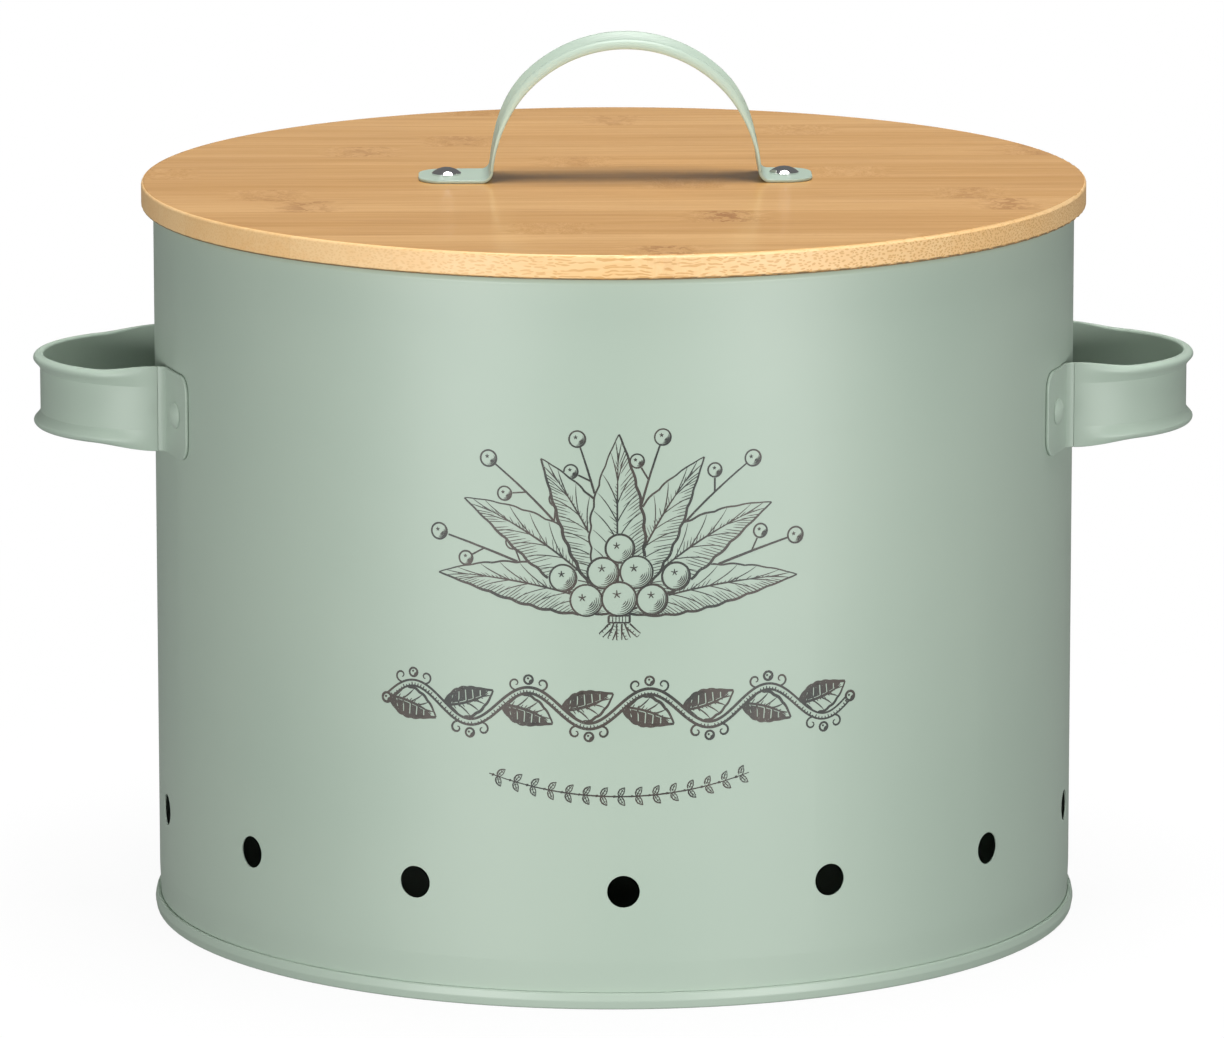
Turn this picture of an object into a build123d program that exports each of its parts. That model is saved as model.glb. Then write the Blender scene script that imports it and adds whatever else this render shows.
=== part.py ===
"""Potato storage bin: a rolled steel drum with a seamed base, a row of air vents, two riveted
strap handles and a loose bamboo lid that carries a bolted strap handle.

Millimetres, +Z up. The origin is the centre of the base on the ground plane, +X runs through the
two side handles and the front of the bin faces -Y.
"""

import os
from math import atan2, cos, degrees, isclose, radians, sin, sqrt

from build123d import *

# ---------------------------------------------------------------- drum
body_diameter = 280.0
body_height = 217.5
sheet = 0.4
rim_curl_diameter = 4.0
rim_curl_sweep = 300.0
lap_width = 7.0

# ---------------------------------------------------------------- base and its double seam
seam_height = 5.0
seam_play = 0.03
seam_heel_bend = 0.6
seam_bulge = 0.45
seam_bulge_height = 2.6
seam_bulge_bend = 1.2
hook_clearance = 0.6
hook_roundness = 0.85
base_panel_drop = 0.1
base_bend = 1.2
base_step_inset = 28.0
base_step_rise = 1.5
base_step_run = 3.0

# ---------------------------------------------------------------- neck above the seam
neck_depth = 0.3
neck_gap = 0.7
neck_ramp = 8.0
neck_bend = 20.0

# ---------------------------------------------------------------- air vents
vent_diameter = 9.6
vent_height = 35.4
vent_count = 13
vent_spacing_angle = 25.87

# ---------------------------------------------------------------- strap shared by the three handles
strap_thickness = 1.0
strap_bend = 4.0
strap_edge_round = 0.4
coat_play = 0.05
lip_rise = 2.05
lip_draw = 1.85
lip_width = 6.4
lip_crest_setback = 1.5
lip_crease_slope = 26.0
lip_curl_angle = 78.0
lip_curl_drop = 1.25
loop_stations = 36

# ---------------------------------------------------------------- side handles
side_strap_width = 26.0
side_handle_drop = 56.6
side_loop_radius = 36.5
side_loop_inset = 2.5
side_tab_length = 17.9
side_tab_corner = 5.5
side_lip_full_angle = 58.0
side_lip_end_angle = 88.0

# ---------------------------------------------------------------- side rivets
rivet_setback = 8.9
rivet_diameter = 4.0
rivet_play = 0.05
rivet_head_diameter = 8.0
rivet_head_height = 1.9
rivet_tail_diameter = 6.4
rivet_tail_height = 1.3
rivet_tail_dimple = 0.7
rivet_dimple_slope = 45.0

# ---------------------------------------------------------------- bamboo lid
lid_overhang = 3.6
lid_edge = 7.4
lid_rest_gap = 0.1
lid_round = 0.9
plug_depth = 5.0
plug_play = 1.5
plug_round = 1.0

# ---------------------------------------------------------------- lid handle
lid_strap_width = 24.0
lid_loop_radius = 40.3
lid_loop_centre_rise = 0.3
lid_handle_shift = 3.5
lid_strap_bend = 3.6
lid_foot_extra = 6.0
lid_foot_corner = 8.0
lid_lip_full_angle = 45.0
lid_lip_end_angle = 82.0

# ---------------------------------------------------------------- lid fasteners
cap_setback = 8.5
cap_clearance = 0.05
cap_diameter = 9.0
cap_height = 2.3
cap_edge = 0.5
barrel_diameter = 6.0
barrel_length = 9.0
barrel_bore_depth = 7.5
barrel_play = 0.15
screw_diameter = 4.0
screw_play = 0.03
screw_engagement = 6.0
screw_head_diameter = 7.6
screw_head_height = 2.2
screw_slot_width = 1.0
screw_slot_depth = 1.0
washer_diameter = 12.0
washer_thickness = 1.0

# ---------------------------------------------------------------- sizes that follow
full_turn = 360.0
wall_radius = body_diameter / 2
wall_inner_radius = wall_radius - sheet
side_handle_height = body_height - side_handle_drop
side_loop_centre = wall_radius - side_loop_inset
lid_bottom = body_height + lid_rest_gap
lid_top = lid_bottom + lid_edge
plug_bottom = lid_bottom - plug_depth
plug_radius = wall_radius - rim_curl_diameter - plug_play
tab_radius = wall_radius + coat_play
foot_bottom = lid_top + coat_play
foot_top = foot_bottom + strap_thickness
rear = Vector(0, 1, 0)


def polar(centre, radius, angle):
    """The point of a circle at an angle, both in the plane of the sketch."""
    return (centre[0] + radius * cos(radians(angle)), centre[1] + radius * sin(radians(angle)))


def spoke_plane(angle, height):
    """A plane on the drum's axis that faces outward along a spoke, with local y pointing up."""
    outward = Vector(1, 0, 0).rotate(Axis.Z, angle)
    return Plane(origin=(0, 0, height), x_dir=Vector(0, 0, 1).cross(outward), z_dir=outward)


def lip_share(angle, full_angle, end_angle):
    """How full the strap's hems are: 1 over the grip, easing to 0 towards the tabs."""
    share = min(max((end_angle - abs(angle)) / (end_angle - full_angle), 0.0), 1.0)
    return share * share * (3 - 2 * share)


def strap_section(width, share):
    """Cross-section of the strap: x across its width, y away from the hand, flat towards the hand.
    Each edge is folded out into a closed hem, which share thins to the plain strip at 0."""
    crease = width / 2 - lip_width
    rise = lip_rise * share
    tip = width / 2 - strap_edge_round - lip_draw * share
    curl = radians(lip_curl_angle * share)
    along = Vector(cos(curl), -sin(curl))
    across = Vector(sin(curl), cos(curl)) * (strap_thickness / 2)
    edge = Vector(tip, strap_thickness / 2 + rise - lip_curl_drop * share) + across
    crest = tip - lip_crest_setback + strap_edge_round
    slope = radians(lip_crease_slope * share)
    leave = Vector(cos(slope), sin(slope))
    shoulder = edge + Vector(1 - sin(curl), -cos(curl)) * strap_edge_round
    heel_round = strap_edge_round * (1 + share)
    with BuildSketch() as section:
        with BuildLine():
            Line((0, strap_thickness), (crease, strap_thickness))
            Spline(
                (crease, strap_thickness), (crest, strap_thickness + rise), edge,
                tangents=(leave, along),
            )
            TangentArc(edge, shoulder, tangent=along)
            Line(shoulder, (shoulder.X, heel_round))
            TangentArc((shoulder.X, heel_round), (shoulder.X - heel_round, 0), tangent=(0, -1))
            Line((shoulder.X - heel_round, 0), (0, 0))
            mirror(about=Plane.YZ)
        make_face()
    return section.sketch


def strap_loop(frame, half_angle, inner_radius, width, full_angle, end_angle):
    """The bowed grip: sections set round a circle, centred on the frame, from one bend to the other."""
    with BuildPart() as loop:
        for station in range(loop_stations + 1):
            angle = half_angle * (2 * station / loop_stations - 1)
            outward = frame.x_dir.rotate(Axis((0, 0, 0), frame.z_dir), angle)
            across = Plane(
                origin=frame.origin + outward * inner_radius,
                x_dir=frame.z_dir,
                z_dir=frame.z_dir.cross(outward),
            )
            with BuildSketch(across):
                add(strap_section(width, lip_share(angle, full_angle, end_angle)))
        loft()
    return loop.part


def strap_tab(outline, grip_centre, width, corner):
    """A tab with its bend: the strip seen on edge, extruded to its width, free corners and edges rounded."""
    with BuildPart() as tab:
        extrude(outline, amount=width / 2, both=True)
        ends = tab.edges().filter_by(lambda edge: isclose(edge.length, strap_thickness, abs_tol=0.01))
        fillet(ends.sort_by_distance(grip_centre)[-2:], corner)
        root = tab.faces().sort_by_distance(grip_centre)[0]
        fillet(tab.edges() - root.edges(), strap_edge_round)
    return tab.part


def domed_head(seat, diameter, height, edge):
    """A round head with a short upright edge and a dome, standing on the seat plane."""
    radius = diameter / 2
    with BuildPart() as head:
        with BuildSketch(Plane(origin=seat.origin, x_dir=seat.x_dir, z_dir=-seat.y_dir)):
            with BuildLine():
                Polyline((0, height), (0, 0), (radius, 0), (radius, edge))
                TangentArc((0, height), (radius, edge), tangent=(1, 0))
            make_face()
        revolve(axis=Axis(seat.origin, seat.z_dir))
    return head.part


def finish(piece, name):
    """Name a finished piece and write its STEP file."""
    piece.label = name
    export_step(piece, f"parts/{name}.step")


os.makedirs("parts", exist_ok=True)

# ---------------------------------------------------------------- layers of the double seam
# From inside to outside: the base's chuck wall, the drum's neck, the base hook, the body hook and
# the base's outer wall, each a sheet thick with the seam play between them. The outer wall bulges.
layer = sheet + seam_play
wall_line = wall_radius - sheet / 2
neck_line = wall_line - neck_depth
chuck_line = neck_line - layer
base_hook_line = neck_line + layer
body_hook_line = neck_line + 2 * layer
seam_line = neck_line + 3 * layer
seam_foot = sheet / 2
wall_foot = seam_foot + layer
seam_top = seam_height - sheet / 2
body_hook_end = seam_top - sheet / 2 - hook_clearance
base_hook_end = wall_foot + sheet / 2 + hook_clearance
hook_bend = hook_roundness * layer

# ---------------------------------------------------------------- handle tabs on the drum
# The bend's centre lies a bend radius beyond both the grip's circle and the drum's.
bend_reach = tab_radius + strap_bend
grip_reach = side_loop_radius + strap_bend
bend_x = (bend_reach**2 - grip_reach**2 + side_loop_centre**2) / (2 * side_loop_centre)
bend_y = sqrt(bend_reach**2 - bend_x**2)
grip_half_angle = degrees(atan2(bend_y, bend_x - side_loop_centre))
tab_start = degrees(atan2(bend_y, bend_x))
tab_wrap = degrees(side_tab_length / tab_radius)
rivet_angle = tab_start + tab_wrap - degrees(rivet_setback / tab_radius)
rivet_spokes = {
    "right_front": -rivet_angle,
    "right_rear": rivet_angle,
    "left_rear": full_turn / 2 - rivet_angle,
    "left_front": full_turn / 2 + rivet_angle,
}
rivet_hole_radius = rivet_diameter / 2 + rivet_play

# ---------------------------------------------------------------- body_wall
# One rolled sheet: body hook, neck, straight wall and inward rim curl, with a lap seam at the rear.
neck_foot = seam_height + neck_gap
neck_head = neck_foot + neck_ramp
curl_radius = rim_curl_diameter / 2
curl_centre = (wall_radius - curl_radius, body_height - curl_radius)
lap_height = curl_centre[1] - neck_head

with BuildPart() as body_wall:
    with BuildSketch(Plane.XZ):
        with BuildLine():
            FilletPolyline(
                (body_hook_line, body_hook_end),
                (body_hook_line, wall_foot),
                (neck_line, wall_foot),
                (neck_line, seam_height),
                radius=hook_bend,
            )
            FilletPolyline(
                (neck_line, seam_height),
                (neck_line, neck_foot),
                (wall_line, neck_head),
                (wall_line, curl_centre[1]),
                radius=neck_bend,
            )
            CenterArc(curl_centre, curl_radius - sheet / 2, 0, rim_curl_sweep)
        trace(line_width=sheet)
    revolve(axis=Axis.Z)
    with BuildSketch(Plane.XY.offset(neck_head)):
        Circle(wall_radius + sheet)
        Circle(wall_line, mode=Mode.SUBTRACT)
        with Locations(rear * wall_radius):
            Rectangle(lap_width, wall_radius, mode=Mode.INTERSECT)
    extrude(amount=lap_height)
    for vent in range(vent_count):
        from_front = vent_spacing_angle * (vent - (vent_count - 1) / 2)
        with BuildSketch(spoke_plane(from_front - full_turn / 4, vent_height)):
            Circle(vent_diameter / 2)
        extrude(amount=body_diameter, mode=Mode.SUBTRACT)
    for spoke in rivet_spokes.values():
        with BuildSketch(spoke_plane(spoke, side_handle_height)):
            Circle(rivet_hole_radius)
        extrude(amount=body_diameter, mode=Mode.SUBTRACT)
finish(body_wall.part, "body_wall")

# ---------------------------------------------------------------- base_pan
# A pressed disc, raised off the ground, whose rim folds down, out, up and over the body hook.
panel_line = seam_height - base_panel_drop - sheet / 2
centre_line = panel_line + base_step_rise
step_line = wall_radius - base_step_inset
base_radii = 3 * [base_bend] + 2 * [seam_heel_bend] + [seam_bulge_bend] + 2 * [hook_bend]

with BuildPart() as base_pan:
    with BuildSketch(Plane.XZ):
        with BuildLine():
            FilletPolyline(
                (0, centre_line),
                (step_line - base_step_run, centre_line),
                (step_line, panel_line),
                (chuck_line, panel_line),
                (chuck_line, seam_foot),
                (seam_line, seam_foot),
                (seam_line + seam_bulge, seam_bulge_height),
                (seam_line, seam_top),
                (base_hook_line, seam_top),
                (base_hook_line, base_hook_end),
                radius=base_radii,
            )
        trace(line_width=sheet)
    revolve(axis=Axis.Z)
finish(base_pan.part, "base_pan")

# ---------------------------------------------------------------- side handles
grip_centre = Vector(side_loop_centre, 0, side_handle_height)
bend_centre = (bend_x, bend_y)

with BuildSketch(Plane.XY.offset(side_handle_height)) as side_tab_outline:
    with BuildLine():
        for rise in (0, strap_thickness):
            CenterArc(
                bend_centre, strap_bend - rise, grip_half_angle + full_turn / 2,
                tab_start - grip_half_angle,
            )
            CenterArc((0, 0), tab_radius + rise, tab_start, tab_wrap)
        for centre, radius, angle in (
            ((side_loop_centre, 0), side_loop_radius, grip_half_angle),
            ((0, 0), tab_radius, tab_start + tab_wrap),
        ):
            Line(polar(centre, radius, angle), polar(centre, radius + strap_thickness, angle))
    make_face()

with BuildPart() as side_handle_right:
    add(strap_loop(
        Plane(origin=grip_centre, x_dir=(1, 0, 0), z_dir=(0, 0, 1)), grip_half_angle,
        side_loop_radius, side_strap_width, side_lip_full_angle, side_lip_end_angle,
    ))
    rear_tab = strap_tab(side_tab_outline.sketch, grip_centre, side_strap_width, side_tab_corner)
    add(rear_tab)
    mirror(rear_tab, about=Plane.XZ)
    for spoke in (rivet_spokes["right_front"], rivet_spokes["right_rear"]):
        with BuildSketch(spoke_plane(spoke, side_handle_height)):
            Circle(rivet_hole_radius)
        extrude(amount=body_diameter, mode=Mode.SUBTRACT)
finish(side_handle_right.part, "side_handle_right")

with BuildPart() as side_handle_left:
    mirror(side_handle_right.part, about=Plane.YZ)
finish(side_handle_left.part, "side_handle_left")

# ---------------------------------------------------------------- side rivets
# The domed head bears on the tab and the clinched tail on the inside of the wall.
head_seat = tab_radius + strap_thickness
tail_radius = rivet_tail_diameter / 2
tail_seat = sqrt(wall_inner_radius**2 - tail_radius**2) - rivet_play
tail_end = tail_seat - rivet_tail_height

for corner_name, spoke in rivet_spokes.items():
    axis_plane = spoke_plane(spoke, side_handle_height)
    with BuildPart() as side_rivet:
        add(domed_head(
            axis_plane.offset(head_seat), rivet_head_diameter, rivet_head_height, strap_edge_round / 2,
        ))
        with BuildSketch(axis_plane.offset(tail_seat)):
            Circle(rivet_diameter / 2)
        extrude(amount=head_seat - tail_seat)
        with BuildSketch(axis_plane.offset(tail_end)):
            Circle(tail_radius)
        extrude(amount=rivet_tail_height)
        inner_edges = side_rivet.edges().filter_by(GeomType.CIRCLE)
        fillet(inner_edges.sort_by_distance((0, 0, side_handle_height))[0], rivet_tail_height / 2)
        with BuildSketch(axis_plane.offset(tail_end)):
            Circle(rivet_diameter / 2)
        extrude(amount=rivet_tail_dimple, taper=rivet_dimple_slope, mode=Mode.SUBTRACT)
    finish(side_rivet.part, f"side_rivet_{corner_name}")

# ---------------------------------------------------------------- lid_board
# A glued bamboo disc, rebated underneath so that its plug drops inside the rim curl. The handle's
# bends set where its feet end and where the two cap nuts pass through.
arch_height = lid_top + lid_loop_centre_rise
arch_bend_height = foot_bottom + lid_strap_bend
arch_bend_x = sqrt((lid_loop_radius + lid_strap_bend) ** 2 - (arch_bend_height - arch_height) ** 2)
arch_half_angle = degrees(atan2(arch_bend_x, arch_bend_height - arch_height))
short_foot = cap_clearance + cap_diameter / 2 + cap_setback
foot_ends = {-1: arch_bend_x + short_foot + lid_foot_extra, 1: arch_bend_x + short_foot}
cap_places = [lid_handle_shift + side * (end - cap_setback) for side, end in foot_ends.items()]
barrel_hole_radius = barrel_diameter / 2 + barrel_play

with BuildPart() as lid_board:
    with BuildSketch(Plane.XY.offset(lid_bottom)):
        Circle(wall_radius + lid_overhang)
    extrude(amount=lid_edge)
    fillet(lid_board.edges(), lid_round)
    with BuildSketch(Plane.XY.offset(plug_bottom)):
        Circle(plug_radius)
    extrude(amount=plug_depth)
    fillet(lid_board.edges().group_by(Axis.Z)[0], plug_round)
    with Locations([(x, 0, lid_top) for x in cap_places]):
        Hole(barrel_hole_radius)
finish(lid_board.part, "lid_board")

# ---------------------------------------------------------------- lid_handle
# The arch stands a little to the right of the lid's centre, on a long foot and a short one.
arch_centre = Vector(lid_handle_shift, 0, arch_height)
arch_start = full_turn / 4 - arch_half_angle

with BuildPart() as lid_handle:
    add(strap_loop(
        Plane(origin=arch_centre, x_dir=(0, 0, 1), z_dir=(0, -1, 0)), arch_half_angle,
        lid_loop_radius, lid_strap_width, lid_lip_full_angle, lid_lip_end_angle,
    ))
    for side, foot_end in foot_ends.items():
        foot_plane = Plane(origin=(lid_handle_shift, 0, 0), x_dir=(side, 0, 0), z_dir=(0, -side, 0))
        with BuildSketch(foot_plane, mode=Mode.PRIVATE) as foot_outline:
            with BuildLine():
                for rise in (0, strap_thickness):
                    CenterArc(
                        (arch_bend_x, arch_bend_height), lid_strap_bend - rise,
                        full_turn * 3 / 4 - arch_half_angle, arch_half_angle,
                    )
                    Line((arch_bend_x, foot_bottom + rise), (foot_end, foot_bottom + rise))
                Line((foot_end, foot_bottom), (foot_end, foot_top))
                Line(
                    polar((0, arch_height), lid_loop_radius, arch_start),
                    polar((0, arch_height), lid_loop_radius + strap_thickness, arch_start),
                )
            make_face()
        add(strap_tab(foot_outline.sketch, arch_centre, lid_strap_width, lid_foot_corner))
    with Locations([(x, 0, foot_top) for x in cap_places]):
        Hole(barrel_hole_radius, depth=2 * strap_thickness)
finish(lid_handle.part, "lid_handle")

# ---------------------------------------------------------------- lid fasteners
# Smooth cap nuts drop through the handle's feet and the board, and screws meet them from below.
washer_bottom = plug_bottom - washer_thickness
screw_tip = foot_top - barrel_length + screw_engagement
screw_hole_radius = screw_diameter / 2 + screw_play

for side_name, x in zip(("left", "right"), cap_places):
    with BuildPart() as cap_nut:
        add(domed_head(Plane((x, 0, foot_top)), cap_diameter, cap_height, cap_edge))
        with BuildSketch(Plane((x, 0, foot_top - barrel_length))):
            Circle(barrel_diameter / 2)
        extrude(amount=barrel_length)
        with BuildSketch(Plane((x, 0, foot_top - barrel_length))):
            Circle(screw_hole_radius)
        extrude(amount=barrel_bore_depth, mode=Mode.SUBTRACT)
    finish(cap_nut.part, f"lid_cap_nut_{side_name}")

    with BuildPart() as washer:
        with BuildSketch(Plane((x, 0, washer_bottom))):
            Circle(washer_diameter / 2)
            Circle(screw_hole_radius, mode=Mode.SUBTRACT)
        extrude(amount=washer_thickness)
    finish(washer.part, f"lid_washer_{side_name}")

    with BuildPart() as screw:
        with BuildSketch(Plane((x, 0, washer_bottom))):
            Circle(screw_diameter / 2)
        extrude(amount=screw_tip - washer_bottom)
        with BuildSketch(Plane((x, 0, washer_bottom))):
            Circle(screw_head_diameter / 2)
        extrude(amount=-screw_head_height)
        head_edges = screw.edges().group_by(Axis.Z)[0]
        fillet(head_edges, screw_head_height / 3)
        with BuildSketch(Plane((x, 0, washer_bottom - screw_head_height))):
            Rectangle(screw_slot_width, screw_head_diameter)
        extrude(amount=screw_slot_depth, mode=Mode.SUBTRACT)
    finish(screw.part, f"lid_screw_{side_name}")
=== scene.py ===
"""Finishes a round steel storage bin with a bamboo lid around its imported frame.

Laid out as an add-on: settings, one operator for each group of pieces and one for the studio, and
a sidebar panel. Run as a script, it registers itself and calls the operators in order. Lengths are
metres, +Z up, and the front of the bin faces -Y.
"""

import cmath
import math
import random
from functools import cache, partial

import bmesh
import bpy
from bpy.props import FloatProperty, FloatVectorProperty, IntProperty, PointerProperty
from mathutils import Euler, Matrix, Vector


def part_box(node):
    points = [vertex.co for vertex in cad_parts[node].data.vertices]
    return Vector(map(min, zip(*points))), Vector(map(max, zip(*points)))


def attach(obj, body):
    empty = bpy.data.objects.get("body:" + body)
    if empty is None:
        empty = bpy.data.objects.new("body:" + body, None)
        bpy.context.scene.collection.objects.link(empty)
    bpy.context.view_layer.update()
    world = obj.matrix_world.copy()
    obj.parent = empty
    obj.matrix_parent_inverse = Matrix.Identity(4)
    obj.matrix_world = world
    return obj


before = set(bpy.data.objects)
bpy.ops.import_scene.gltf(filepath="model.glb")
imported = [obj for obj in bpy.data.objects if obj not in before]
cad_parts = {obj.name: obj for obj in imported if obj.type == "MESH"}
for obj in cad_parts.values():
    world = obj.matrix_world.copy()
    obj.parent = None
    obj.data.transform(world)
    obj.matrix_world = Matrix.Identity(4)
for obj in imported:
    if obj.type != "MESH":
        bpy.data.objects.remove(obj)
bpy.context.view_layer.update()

bl_info = {
    "name": "Round Storage Bin",
    "version": (1, 0, 0),
    "blender": (4, 5, 0),
    "location": "3D View > Sidebar > Storage Bin",
    "description": "Paint, bamboo, bright metal, printed ornament and a plain studio for a storage bin",
    "category": "Object",
}

MM = 0.001
DRUM_RADIUS = 140 * MM


# ---------------------------------------------------------------- settings

ColourProperty = partial(FloatVectorProperty, subtype="COLOR", size=3, min=0, max=1)
LengthProperty = partial(FloatProperty, unit="LENGTH")
AngleProperty = partial(FloatProperty, subtype="ANGLE")
ShareProperty = partial(FloatProperty, min=0, max=1)


class PaintSettings(bpy.types.PropertyGroup):
    """The powder coat of the drum, the straps and the rivets."""

    colour: ColourProperty(
        name="Colour", description="Main colour of the powder coat", default=(0.41, 0.50, 0.418),
    )
    drift: ColourProperty(
        name="Drift", description="Colour that the coat drifts towards where it lies thinner",
        default=(0.375, 0.470, 0.392),
    )
    roughness: ShareProperty(name="Roughness", description="Satin to matt", default=0.42)
    peel_size: LengthProperty(
        name="Orange peel size", description="Width of one bump of the orange peel",
        min=0.0001, max=0.01, default=1.3 * MM,
    )
    peel_depth: LengthProperty(
        name="Orange peel depth", description="Height of the orange peel",
        min=0, max=0.001, default=0.0035 * MM,
    )


class BambooSettings(bpy.types.PropertyGroup):
    """The glued strips of the lid."""

    pale: ColourProperty(
        name="Pale wood", description="Colour of the soft tissue between the fibres",
        default=(0.82, 0.474, 0.182),
    )
    deep: ColourProperty(
        name="Deep wood", description="Colour of the darker streaks", default=(0.63, 0.325, 0.096),
    )
    knuckle: ColourProperty(
        name="Knuckle", description="Colour of the flecks where a cane had its joint",
        default=(0.42, 0.18, 0.05),
    )
    cut: ColourProperty(
        name="Cut edge", description="Colour of the sawn and sanded edge", default=(0.88, 0.60, 0.30),
    )
    # Painted shade: the dark colour laid on the edge's downward-facing lower corner in place of its shadow.
    painted_edge_shade: ColourProperty(
        name="Grime", description="Colour that the lower corner of the edge has taken on",
        default=(0.075, 0.050, 0.022),
    )
    strip_width: LengthProperty(
        name="Strip width", description="Width of one glued strip", min=0.005, max=0.1, default=21 * MM,
    )
    fibre_size: LengthProperty(
        name="Fibre size", description="Spacing of the fibre bundles",
        min=0.0002, max=0.005, default=0.78 * MM,
    )


class MetalSettings(bpy.types.PropertyGroup):
    """The bright cap nuts on the lid and the zinc plated screws and washers below it."""

    chrome: ColourProperty(
        name="Chrome", description="Colour of the polished cap nuts", default=(0.78, 0.78, 0.78),
    )
    zinc: ColourProperty(
        name="Zinc", description="Colour of the plated screws and washers", default=(0.58, 0.60, 0.63),
    )


class PrintSettings(bpy.types.PropertyGroup):
    """The dark ornament printed on the front of the drum."""

    ink: ColourProperty(
        name="Ink", description="Colour of the ink where it lies thick", default=(0.026, 0.030, 0.026),
    )
    thin_ink: ColourProperty(
        name="Thin ink", description="Colour of the ink where it lies thin",
        default=(0.078, 0.059, 0.048),
    )
    line_weight: FloatProperty(
        name="Line weight", description="Makes all lines thicker or thinner", min=0.2, max=3, default=1.0,
    )
    ink_thickness: LengthProperty(
        name="Ink thickness", description="How far the ink stands proud of the paint",
        min=0.00001, max=0.001, default=0.04 * MM,
    )
    seed: IntProperty(name="Seed", description="Changes the irregular strokes of the pen", min=0, default=7)
    shift: LengthProperty(
        name="Shift", description="How far the middle of the print lies from the front, along the wall",
        default=-1.2 * MM,
    )
    picture_width: LengthProperty(
        name="Picture width", description="Width of the spray of leaves", default=112 * MM,
    )
    picture_height: LengthProperty(
        name="Picture height", description="Height of the spray of leaves", default=65 * MM,
    )
    picture_level: LengthProperty(
        name="Picture level", description="Height of the spray's middle above the floor",
        default=142.8 * MM,
    )
    band_width: LengthProperty(name="Band width", description="Width of the running vine", default=142 * MM)
    band_height: LengthProperty(
        name="Band height", description="Height of the running vine", default=19.2 * MM,
    )
    band_level: LengthProperty(
        name="Band level", description="Height of the vine's middle above the floor", default=90.2 * MM,
    )
    garland_width: LengthProperty(
        name="Garland width", description="Width of the small garland", default=77 * MM,
    )
    garland_height: LengthProperty(
        name="Garland height", description="How far the garland hangs in its middle", default=6 * MM,
    )
    garland_level: LengthProperty(
        name="Garland level", description="Height of the garland's ends above the floor", default=70 * MM,
    )


class StudioSettings(bpy.types.PropertyGroup):
    """Camera, lamps and floor."""

    camera_place: FloatVectorProperty(
        name="Camera place", description="Where the camera stands",
        subtype="TRANSLATION", unit="LENGTH", size=3, default=(-0.0526, -2.7090, 0.6552),
    )
    camera_pitch: AngleProperty(
        name="Camera pitch", description="How far the camera looks down", default=math.radians(11.193),
    )
    camera_heading: AngleProperty(
        name="Camera heading", description="How far the camera is turned towards +X",
        default=math.radians(1.1),
    )
    camera_roll: AngleProperty(
        name="Camera roll", description="Tilt of the horizon", default=math.radians(-0.045),
    )
    lens: FloatProperty(
        name="Lens", description="Focal length on a 36 mm wide sensor, in millimetres",
        min=1, max=1000, default=265.14,
    )
    front_power: FloatProperty(
        name="Front lamps", description="Power of each of the two front softboxes, in watts",
        min=0, default=21.8,
    )
    top_power: FloatProperty(
        name="Top lamp", description="Power of the softbox overhead, in watts", min=0, default=25.6,
    )
    back_power: FloatProperty(
        name="Back lamp", description="Power of the softbox behind, in watts, which nothing mirrors",
        min=0, default=17.0,
    )
    fill: FloatProperty(
        name="Fill", description="Strength of the even light from all around", min=0, max=2, default=0.02,
    )
    floor_glow: ShareProperty(
        name="Floor glow", description="Share of plain white that the camera sees in the floor by the bin",
        default=0.93,
    )
    floor_bounce: ShareProperty(
        name="Floor bounce", description="Share of the light that the floor throws back on the bin",
        default=0.18,
    )


# ---------------------------------------------------------------- building shader trees

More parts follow.
